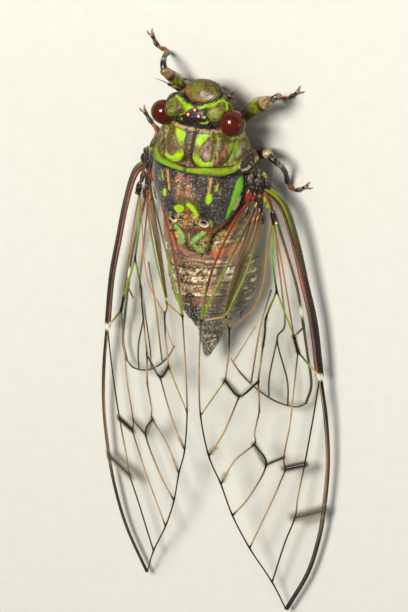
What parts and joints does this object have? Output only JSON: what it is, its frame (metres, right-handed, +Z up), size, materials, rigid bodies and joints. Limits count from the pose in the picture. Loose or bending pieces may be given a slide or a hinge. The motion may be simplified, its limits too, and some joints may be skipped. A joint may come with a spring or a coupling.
{
  "type": "purana tigrina cicada",
  "caption": "Resting cicada with clear veined wings folded roof-wise over a dark, green-marked body, at life size.",
  "frame": {"origin": "on the floor, under the middle of the whole length, midway between the wings", "axes": "+X to the insect's right, +Y towards its head, +Z up"},
  "size_m": [0.0194, 0.0459, 0.0056],
  "materials": {
    "head": "olive and black cuticle with lime green bands and fine pale hairs",
    "face": "olive brown cuticle with tan cross grooves",
    "eye": "dark glossy red brown",
    "feeler": "dark brown, thinning to a bristle",
    "beak": "tan with a dark tip",
    "pronotum": "brown grey lobes, black hourglass and lime green marks, green collar",
    "mesonotum": "charcoal with fine pale specks, ochre lines and green cross",
    "trunk": "brown cuticle with pale dusty hairs",
    "abdomen": "purplish brown rings with pale gold hairs",
    "sheath": "black brown with silver hairs",
    "forewing": "clear membrane with green, orange and black brown veins",
    "hindwing": "clear membrane with orange and black veins",
    "thigh": "olive tan with a yellow green patch",
    "shin": "dark brown with short spines",
    "foot": "orange, darkening to the claws"
  },
  "bodies": {
    "root": {"head": "head", "postclypeus": "face", "eye_left": "eye", "eye_right": "eye", "antenna_left": "feeler", "antenna_right": "feeler", "rostrum": "beak", "pronotum": "pronotum", "mesonotum": "mesonotum", "thorax": "trunk", "abdomen": "abdomen", "ovipositor_sheath": "sheath", "forewing_left": "forewing", "forewing_right": "forewing", "hindwing_left": "hindwing", "hindwing_right": "hindwing", "femur_fore_left": "thigh", "femur_fore_right": "thigh", "femur_mid_left": "thigh", "femur_mid_right": "thigh", "femur_hind_left": "thigh", "femur_hind_right": "thigh", "tibia_fore_left": "shin", "tibia_fore_right": "shin", "tibia_mid_left": "shin", "tibia_mid_right": "shin", "tibia_hind_left": "shin", "tibia_hind_right": "shin", "tarsus_fore_left": "foot", "tarsus_fore_right": "foot", "tarsus_mid_left": "foot", "tarsus_mid_right": "foot", "tarsus_hind_left": "foot", "tarsus_hind_right": "foot"}
  },
  "joints": []
}
